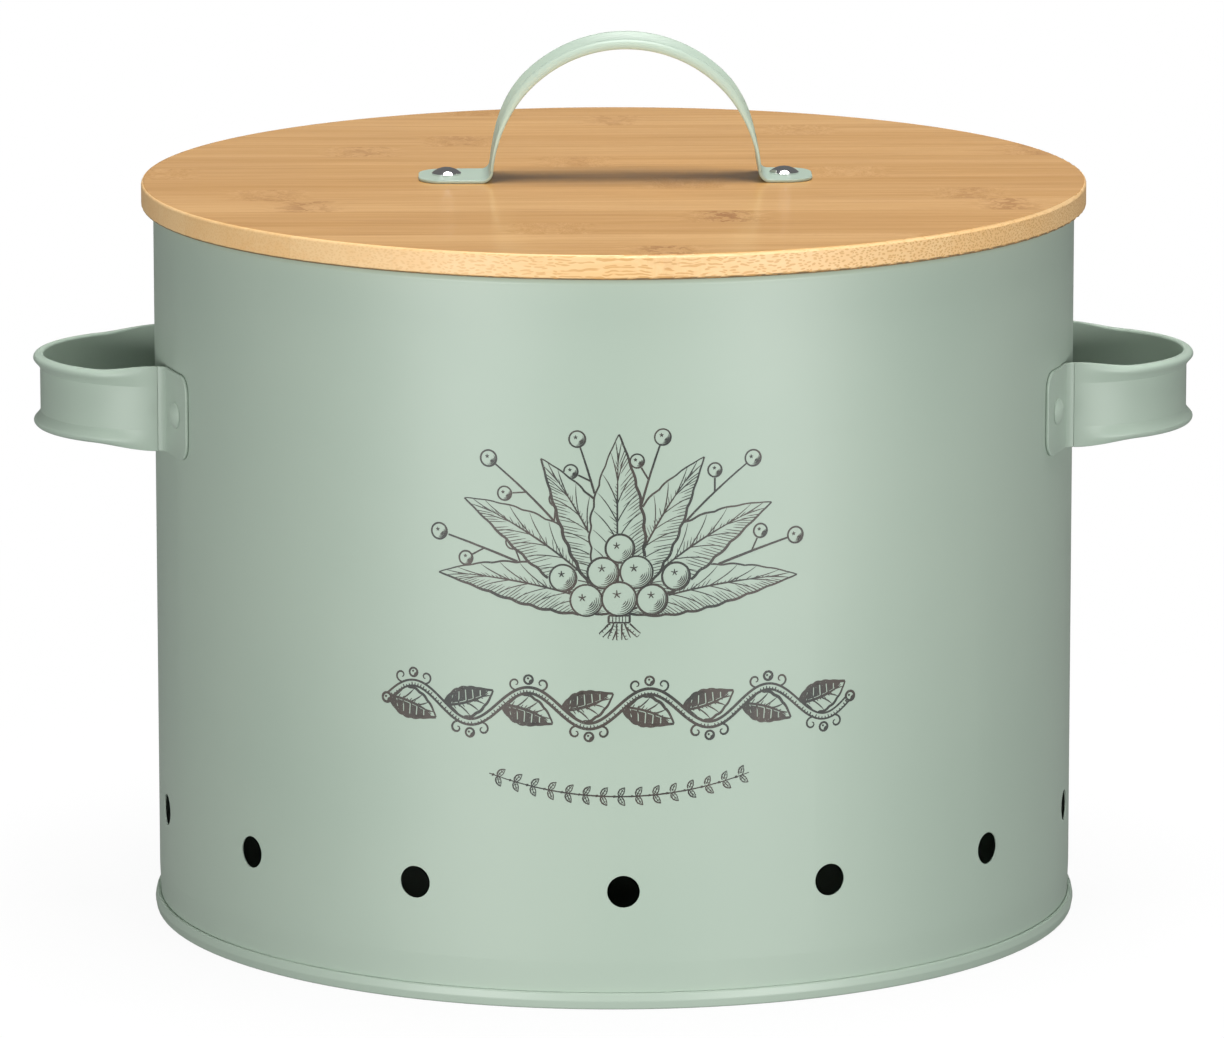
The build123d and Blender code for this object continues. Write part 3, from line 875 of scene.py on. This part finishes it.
def draw_picture(drawing, centre, width, height):
    """A spray of leaves and berries that fans out from tied stems."""
    foot = centre - 1j * height * 0.355
    berry = height * 0.072
    # Each berry: how far along and up from the foot, and its size, in berries.
    for along, up, size in (
        (0, 0.7, 1.08), (-2.05, 0.6, 1), (2.05, 0.65, 0.96), (-1.0, 2.35, 0.98), (1.08, 2.4, 1.02),
        (-3.5, 2.0, 0.85), (3.55, 2.1, 0.88), (0.05, 3.9, 0.9),
    ):
        drawing.berry(foot + berry * (along + 1j * up), berry * size)
    # Each leaf: degrees from upright, length and breadth as shares of the height, curl.
    for lean, length, breadth, curl in (
        (0, 0.80, 0.25, 0.02),
        (-27, 0.77, 0.23, -0.10), (29, 0.79, 0.23, 0.10),
        (-55, 0.86, 0.23, -0.12), (56, 0.84, 0.24, 0.13),
        (-80, 0.84, 0.20, -0.10), (81, 0.83, 0.20, 0.09),
    ):
        tip = foot + height * length * unit(90 - lean)
        drawing.leaf(foot, tip, height * breadth, curl, veins=8, shade=-1 if lean >= 0 else 1)
    # Each sprig: degrees from upright, length as a share of the height, curl.
    for lean, length, curl in (
        (-13.5, 0.80, -0.05), (14, 0.81, 0.05),
        (-41, 0.90, -0.10), (42, 0.91, 0.10),
        (-68, 0.89, -0.06), (69, 0.87, 0.06),
    ):
        drawing.sprig(foot, foot + height * length * unit(90 - lean), curl, height * 0.037)
    tie = foot - 1j * height * 0.042
    half = width * 0.028 + 1j * height * 0.016
    band = [tie - half, tie + half.conjugate(), tie + half, tie - half.conjugate(), tie - half]
    drawing.line(band, 0.5, 1, 1)
    for number in range(-3, 4):
        along = tie + number * width * 0.0085
        drawing.line([along - 0.9j, along + 0.9j], 0.25, 1, 1)
    drawing.cover(band[:4])
    # Each stem end: degrees from straight down, and length as a share of the height.
    for lean, length in ((0, 0.095), (-24, 0.10), (24, 0.098), (-48, 0.11), (50, 0.115)):
        tip = tie - 1j * height * length * unit(lean)
        drawing.stem(bend(foot, tie, tip, 12), 1.5)


def draw_band(drawing, centre, width, height):
    """A running vine: a wavy stem, a heavy leaf in each of its bows, and berries on its crests."""
    bows = 8
    bow_length = width / bows

    def vine(bow):
        return centre + bow_length * (bow - bows / 2) + 1j * height * 0.27 * math.sin(math.pi * bow)

    for bow in range(bows):
        side = -1 if bow % 2 else 1
        crest = vine(bow + 0.5)
        drawing.berry(crest + 1j * side * height * 0.165, height * 0.068, 0.7)
        for hand in (-1, 1):
            root = crest + hand * bow_length * 0.19
            hub = root + hand * height * 0.03 + 1j * side * height * 0.10
            turns = [unit(side * hand * (k * 15 - 90 * hand)) for k in range(24)]
            curl = [hub + height * 0.10 * (1 - k / 30) * turn for k, turn in enumerate(turns)]
            drawing.line(curl, 0.6, 0.9, 0.5)
    for end in (0, bows):
        drawing.berry(vine(end), height * 0.075, 0.75)
    drawing.stem([vine(bows * k / 200) for k in range(201)], height * 0.09, 0.85)
    for bow in range(bows):
        side = -1 if bow % 2 else 1
        base = vine(bow + 0.04)
        tip = vine(bow + 0.5).real + bow_length * 0.40 + 1j * (centre.imag - side * height * 0.24)
        drawing.leaf(base, tip, height * 0.46, side * 0.14, outline=1.0, veins=5, shade=-side, solid=True)


def draw_garland(drawing, centre, width, height):
    """A sagging string of small paired leaves with a dot between each pair."""
    pairs = 15

    def string(t):
        return centre + width * (t - 0.5) - 1j * height * (1 - (2 * t - 1) ** 2)

    for number in range(pairs):
        t = (number + 0.5) / pairs
        here = string(t)
        ahead = string(t + 0.01) - here
        ahead /= abs(ahead)
        for side in (-1, 1):
            tip = here + ahead * unit(side * 58) * width * 0.041
            drawing.leaf(here, tip, width * 0.021, side * 0.12, 2, side, outline=0.34, hatch=0.5)
        drawing.ring(here - ahead * width * 0.018, 0.32, 0.5)
    drawing.line([string(k / 60) for k in range(61)], 0.42, 0.6, 0.6)


# ---------------------------------------------------------------- operators

class BIN_OT_drum(bpy.types.Operator):
    """Finish the drum and its base"""

    bl_idname = "bin.drum"
    bl_label = "Drum"

    def execute(self, context):
        coat(powder_coat(), "body_wall", "base_pan")
        rim_coat(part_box("body_wall")[1][2])
        return {"FINISHED"}


class BIN_OT_side_handles(bpy.types.Operator):
    """Finish the two side handles and their rivets"""

    bl_idname = "bin.side_handles"
    bl_label = "Side handles"

    def execute(self, context):
        for side in ("left", "right"):
            rivets = (f"side_rivet_{side}_front", f"side_rivet_{side}_rear")
            coat(powder_coat(), f"side_handle_{side}", *rivets)
        return {"FINISHED"}


class BIN_OT_lid_board(bpy.types.Operator):
    """Finish the bamboo board"""

    bl_idname = "bin.lid_board"
    bl_label = "Lid board"

    def execute(self, context):
        coat(bamboo(), "lid_board")
        return {"FINISHED"}


class BIN_OT_lid_handle(bpy.types.Operator):
    """Finish the lid's strap handle and its fasteners"""

    bl_idname = "bin.lid_handle"
    bl_label = "Lid handle"

    def execute(self, context):
        coat(powder_coat(), "lid_handle")
        coat(chrome(), "lid_cap_nut_left", "lid_cap_nut_right")
        coat(zinc(), "lid_washer_left", "lid_washer_right", "lid_screw_left", "lid_screw_right")
        return {"FINISHED"}


def lay_print(part, draw, seed_step):
    """Draws one part of the ornament, centred on the front, and lays it on the drum."""
    settings = bpy.context.scene.bin_print
    level, width, height = (getattr(settings, part + size) for size in ("_level", "_width", "_height"))
    drawing = Drawing(settings, seed_step)
    draw(drawing, complex(settings.shift, level) / MM, width / MM, height / MM)
    drawing.make_piece("print_" + part)


class BIN_OT_print_picture(bpy.types.Operator):
    """Print a spray of leaves and berries on the front of the drum"""

    bl_idname = "bin.print_picture"
    bl_label = "Print: leaf spray"

    def execute(self, context):
        lay_print("picture", draw_picture, 0)
        return {"FINISHED"}


class BIN_OT_print_band(bpy.types.Operator):
    """Print a running vine below the spray"""

    bl_idname = "bin.print_band"
    bl_label = "Print: running vine"

    def execute(self, context):
        lay_print("band", draw_band, 1)
        return {"FINISHED"}


class BIN_OT_print_garland(bpy.types.Operator):
    """Print a small sagging garland below the vine"""

    bl_idname = "bin.print_garland"
    bl_label = "Print: garland"

    def execute(self, context):
        lay_print("garland", draw_garland, 2)
        return {"FINISHED"}


WHITE = (1, 1, 1, 1)
FLOOR_SIZE = 30.0
SHADOW_FADE = (180 * MM, 600 * MM)      # from the bin's axis, where the floor turns plain white
MIRRORED_FADE = (200 * MM, 550 * MM)    # and where its reflection turns dark
MIRRORED_GLOW = (0.15, 0.06)            # share of white in that reflection, by the bin and beyond
DRAPE_RADIUS = 3.4
DRAPE_HEIGHT = 1.8
DRAPE_STEPS = 32
CANOPY_HEIGHT = 2.6
DRAPE_SHADES = (0.03, 0.16)             # what the cloths give off, and how bright reflections see them
LAMP_TARGET = (0, 0, 0.14)
FRONT_AZIMUTH = math.radians(35)
FRONT_DISTANCE = 1.9
FRONT_HEIGHT = 0.20
FRONT_SIZE = (1.0, 0.38)                # width and height of a lamp
TOP_PLACE = (0.08, -0.05, 1.6)
TOP_SIZE = (1.0, 0.85)
BACK_PLACE = (0, 1.9, 0.30)
BACK_SIZE = (1.4, 0.5)
SENSOR_WIDTH = 36                       # millimetres


def stage_mesh(name, corners, faces, material_name):
    """A part of the studio that isn't part of the bin, and the empty tree of its material."""
    mesh = bpy.data.meshes.new(name)
    mesh.from_pydata(corners, [], faces)
    material = bpy.data.materials.new(material_name)
    mesh.materials.append(material)
    part = bpy.data.objects.new(name, mesh)
    bpy.context.scene.collection.objects.link(part)
    return part, Tree(material)


def softbox(name, place, size, power, shape="RECTANGLE"):
    """A soft lamp that faces the bin."""
    light = bpy.data.lights.new(name, "AREA")
    light.shape = shape
    light.size, light.size_y = size
    light.energy = power
    lamp = bpy.data.objects.new(name, light)
    lamp.location = place
    lamp.rotation_euler = (Vector(LAMP_TARGET) - Vector(place)).to_track_quat("-Z", "Y").to_euler()
    bpy.context.scene.collection.objects.link(lamp)
    return lamp


class BIN_OT_studio(bpy.types.Operator):
    """Build the floor, the lamps, the surroundings and the camera"""

    bl_idname = "bin.studio"
    bl_label = "Studio"

    def execute(self, context):
        settings = context.scene.bin_studio
        self.build_floor(settings)
        self.build_surroundings(context.scene, settings)
        self.hang_drapes()
        self.hang_lamps(settings)
        self.set_camera(context.scene, settings)
        context.scene.view_settings.view_transform = "Standard"
        return {"FINISHED"}

    def build_floor(self, settings):
        half = FLOOR_SIZE / 2
        corners = [(-half, -half, 0), (half, -half, 0), (half, half, 0), (-half, half, 0)]
        tree = stage_mesh("floor", corners, [(0, 1, 2, 3)], "pale_floor")[1]
        seen = tree.ray_is("Camera")
        place = tree.add("TexCoord").outputs["Object"]
        away = tree.add("VectorMath", {0: place}, operation="LENGTH").outputs["Value"]
        seen_glow = tree.spread(away, *SHADOW_FADE, settings.floor_glow, 1.0)
        mirrored_glow = tree.spread(away, *MIRRORED_FADE, *MIRRORED_GLOW)
        glow_share = tree.math(
            "MAXIMUM",
            tree.times(seen, seen_glow),
            tree.times(tree.ray_is("Glossy", "Transmission"), mirrored_glow),
        )
        paper = tree.add("BsdfDiffuse", {"Color": tree.spread(seen, 0.0, 1.0, settings.floor_bounce, 1.0)})
        glow = tree.add("Emission", {"Color": WHITE, "Strength": 1.0})
        shown = tree.add("MixShader", {0: glow_share, 1: paper.outputs[0], 2: glow.outputs[0]})
        tree.add("OutputMaterial", {"Surface": shown.outputs[0]})

    def build_surroundings(self, scene, settings):
        world = bpy.data.worlds.new("white_surroundings")
        tree = Tree(world)
        fill = tree.add("Background", {"Color": WHITE, "Strength": settings.fill})
        white = tree.add("Background", {"Color": WHITE, "Strength": 1.0})
        seen = tree.ray_is("Camera", "Glossy", "Transmission")
        shown = tree.add("MixShader", {0: seen, 1: fill.outputs[0], 2: white.outputs[0]})
        tree.add("OutputWorld", {"Surface": shown.outputs[0]})
        scene.world = world

    def hang_drapes(self):
        """Dark cloths round and over the set that only reflections and light meet."""
        corners = [(0, 0, CANOPY_HEIGHT)]
        for step in range(DRAPE_STEPS + 1):
            azimuth = math.tau * step / DRAPE_STEPS
            corners += [round_axis(DRAPE_RADIUS, azimuth, height) for height in (0.0, DRAPE_HEIGHT)]
        faces = []
        for low in range(1, 2 * DRAPE_STEPS, 2):
            faces += [(low, low + 1, low + 3, low + 2), (low + 1, 0, low + 3)]
        drapes, tree = stage_mesh("drapes", corners, faces, "dark_cloth")
        drapes.visible_camera = False
        mirrored = tree.ray_is("Glossy", "Transmission")
        shade = tree.spread(mirrored, 0.0, 1.0, *DRAPE_SHADES)
        cloth = tree.add("Emission", {"Color": WHITE, "Strength": shade})
        tree.add("OutputMaterial", {"Surface": cloth.outputs[0]})

    def hang_lamps(self, settings):
        for side, name in ((-1, "softbox_left"), (1, "softbox_right")):
            place = round_axis(FRONT_DISTANCE, FRONT_AZIMUTH * side, FRONT_HEIGHT)
            softbox(name, place, FRONT_SIZE, settings.front_power)
        softbox("softbox_top", TOP_PLACE, TOP_SIZE, settings.top_power, "ELLIPSE")
        back = softbox("softbox_back", BACK_PLACE, BACK_SIZE, settings.back_power)
        back.visible_glossy = False

    def set_camera(self, scene, settings):
        camera = bpy.data.cameras.new("camera")
        camera.sensor_width = SENSOR_WIDTH
        camera.sensor_fit = "HORIZONTAL"
        camera.lens = settings.lens
        stand = bpy.data.objects.new("camera", camera)
        stand.location = settings.camera_place
        look = Euler((math.pi / 2 - settings.camera_pitch, 0, -settings.camera_heading)).to_matrix()
        roll = Euler((0, 0, settings.camera_roll)).to_matrix()
        stand.rotation_euler = (look @ roll).to_euler()
        scene.collection.objects.link(stand)
        scene.camera = stand


class VIEW3D_PT_storage_bin(bpy.types.Panel):
    """Steps and settings of the storage bin"""

    bl_idname = "VIEW3D_PT_storage_bin"
    bl_label = "Storage Bin"
    bl_space_type = "VIEW_3D"
    bl_region_type = "UI"
    bl_category = "Storage Bin"

    def draw(self, context):
        for operator in OPERATORS:
            self.layout.operator(operator.bl_idname)
        for name in SETTINGS:
            box = self.layout.box()
            group = getattr(context.scene, name)
            for setting in group.bl_rna.properties.keys():
                if setting not in ("rna_type", "name"):
                    box.prop(group, setting)


SETTINGS = {
    "bin_paint": PaintSettings,
    "bin_bamboo": BambooSettings,
    "bin_metal": MetalSettings,
    "bin_print": PrintSettings,
    "bin_studio": StudioSettings,
}
OPERATORS = (
    BIN_OT_drum,
    BIN_OT_side_handles,
    BIN_OT_lid_board,
    BIN_OT_lid_handle,
    BIN_OT_print_picture,
    BIN_OT_print_band,
    BIN_OT_print_garland,
    BIN_OT_studio,
)


def register():
    for group in SETTINGS.values():
        bpy.utils.register_class(group)
    for name, group in SETTINGS.items():
        setattr(bpy.types.Scene, name, PointerProperty(type=group))
    for operator in (*OPERATORS, VIEW3D_PT_storage_bin):
        bpy.utils.register_class(operator)


def unregister():
    for operator in reversed((*OPERATORS, VIEW3D_PT_storage_bin)):
        bpy.utils.unregister_class(operator)
    for name in SETTINGS:
        delattr(bpy.types.Scene, name)
    for group in reversed(SETTINGS.values()):
        bpy.utils.unregister_class(group)


def main():
    register()
    for operator in OPERATORS:
        step = operator.bl_idname.split(".")[1]
        getattr(bpy.ops.bin, step)()
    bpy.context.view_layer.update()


if __name__ == "__main__":
    main()
